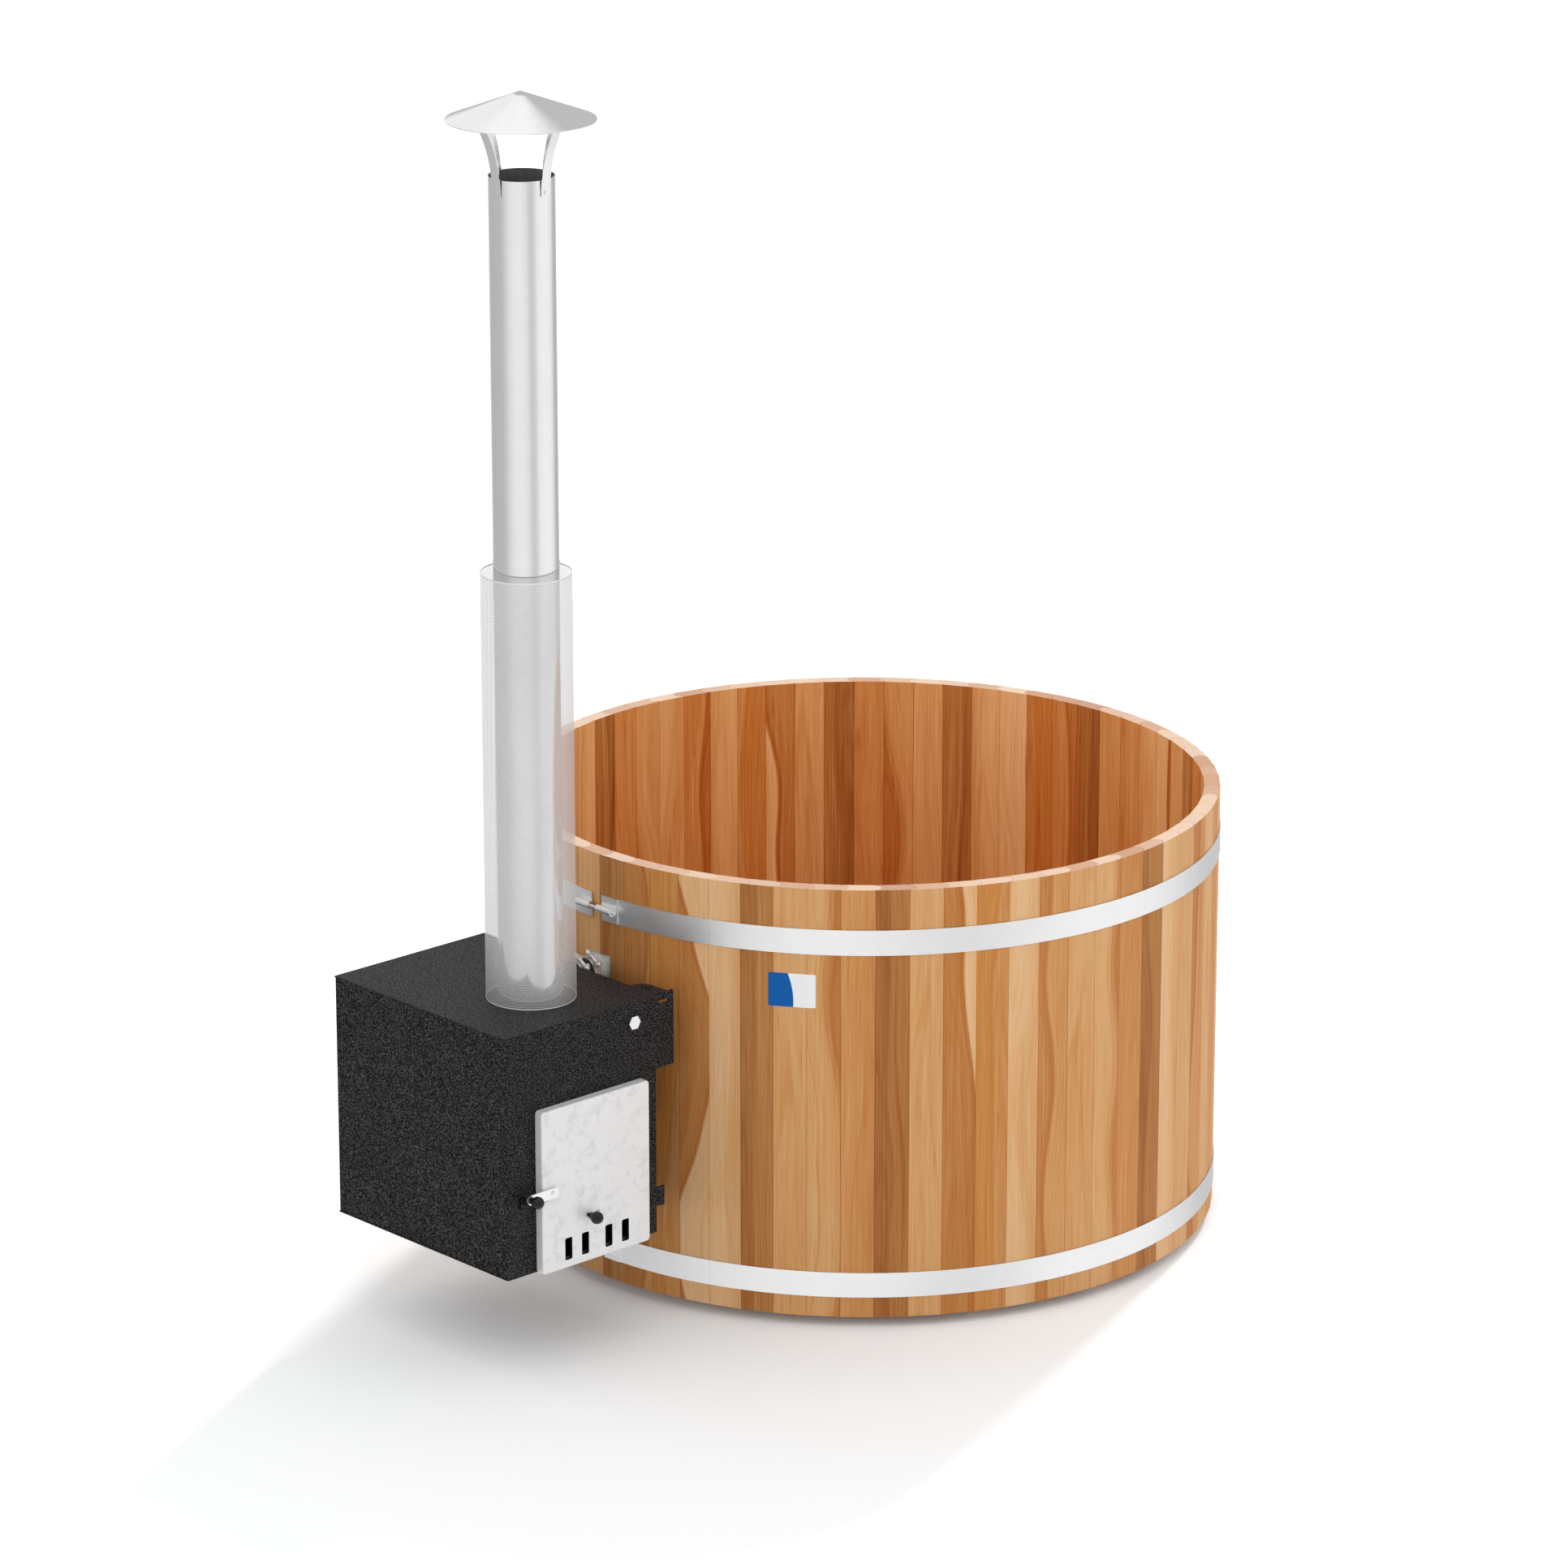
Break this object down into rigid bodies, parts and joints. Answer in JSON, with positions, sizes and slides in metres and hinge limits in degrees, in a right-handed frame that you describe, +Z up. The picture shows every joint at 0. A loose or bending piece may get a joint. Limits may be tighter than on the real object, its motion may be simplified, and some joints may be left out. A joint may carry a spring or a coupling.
{
  "type": "wooden hot tub with outside wood-fired heater",
  "caption": "Round coopered wooden hot tub with steel hoops, a black outside wood-fired heater with a cast door, and a tall capped flue in a guard.",
  "frame": {"origin": "on the tub axis at the ground, under the middle runner", "axes": "+Z up along the tub axis, the heater on -X, its fire door facing -Y"},
  "size_m": [2.1148, 1.6046, 2.742],
  "materials": {
    "cedar": "satin",
    "floor_wood": "satin",
    "bench_wood": "satin",
    "runner_wood": "matte",
    "hoop_steel": "satin",
    "bolt_steel": "gloss",
    "drain_plastic": "matte",
    "port_metal": "satin",
    "hose_rubber": "matte",
    "clamp_steel": "gloss",
    "heater_paint": "matte",
    "fire_steel": "matte",
    "grate_iron": "matte",
    "door_aluminium": "satin",
    "seal_rope": "matte",
    "slide_steel": "satin",
    "latch_steel": "satin",
    "knob_plastic": "gloss",
    "flue_steel": "satin",
    "guard_steel": "satin"
  },
  "bodies": {
    "tub_and_heater": {"staves": "cedar", "port_staves": "cedar", "floor_boards": "floor_wood", "floor_runners": "runner_wood", "upper_hoop": "hoop_steel", "lower_hoop": "hoop_steel", "hoop_lugs": "hoop_steel", "hoop_bolts": "bolt_steel", "hoop_nuts": "bolt_steel", "bench_seats": "bench_wood", "bench_supports": "bench_wood", "drain_fitting": "drain_plastic", "drain_nut": "drain_plastic", "hull_fittings": "port_metal", "hull_nuts": "port_metal", "hull_strainers": "port_metal", "hoses": "hose_rubber", "hose_clamps": "clamp_steel", "clamp_bolts": "clamp_steel", "heater_body": "heater_paint", "heater_top": "heater_paint", "heater_base": "heater_paint", "front_plate": "heater_paint", "firebox": "fire_steel", "flue_throat": "fire_steel", "fire_grate": "grate_iron", "jacket_spigots": "fire_steel", "jacket_plug": "bolt_steel", "hanger_blocks": "runner_wood", "hanger_brackets": "heater_paint", "hanger_screws": "bolt_steel", "hinge_leaves": "fire_steel", "latch_keeper": "fire_steel", "lower_flue": "flue_steel", "upper_flue": "flue_steel", "flue_guard": "guard_steel", "rain_cap": "flue_steel", "cap_straps": "flue_steel", "cap_rivets": "bolt_steel"},
    "fire_door": {"door_casting": "door_aluminium", "door_liner": "slide_steel", "door_seal": "seal_rope", "slide_guides": "slide_steel", "hinge_pins": "bolt_steel", "latch_pivot": "bolt_steel"},
    "latch": {"latch_bar": "latch_steel", "latch_stud": "bolt_steel", "latch_knob": "knob_plastic"},
    "air_slide_set": {"air_slide": "slide_steel", "slide_stem": "bolt_steel", "slide_knob": "knob_plastic"},
    "drain_plug_set": {"drain_plug": "drain_plastic"}
  },
  "joints": [
    {"name": "door_hinge", "type": "hinge", "parent": "tub_and_heater", "child": "fire_door", "pos_m": [-0.9323, -0.29, 0.41], "axis": [0, 0, 1], "range_deg": [0, 95]},
    {"name": "latch_turn", "type": "hinge", "parent": "fire_door", "child": "latch", "pos_m": [-1.207, -0.30975, 0.409], "axis": [0, 1, 0], "range_deg": [0, 45]},
    {"name": "air_slide_move", "type": "slide", "parent": "fire_door", "child": "air_slide_set", "axis": [1, 0, 0], "range_m": [0, 0.026]},
    {"name": "drain_plug_lift", "type": "slide", "parent": "tub_and_heater", "child": "drain_plug_set", "axis": [0, 0, 1], "range_m": [0, 0.06]}
  ]
}
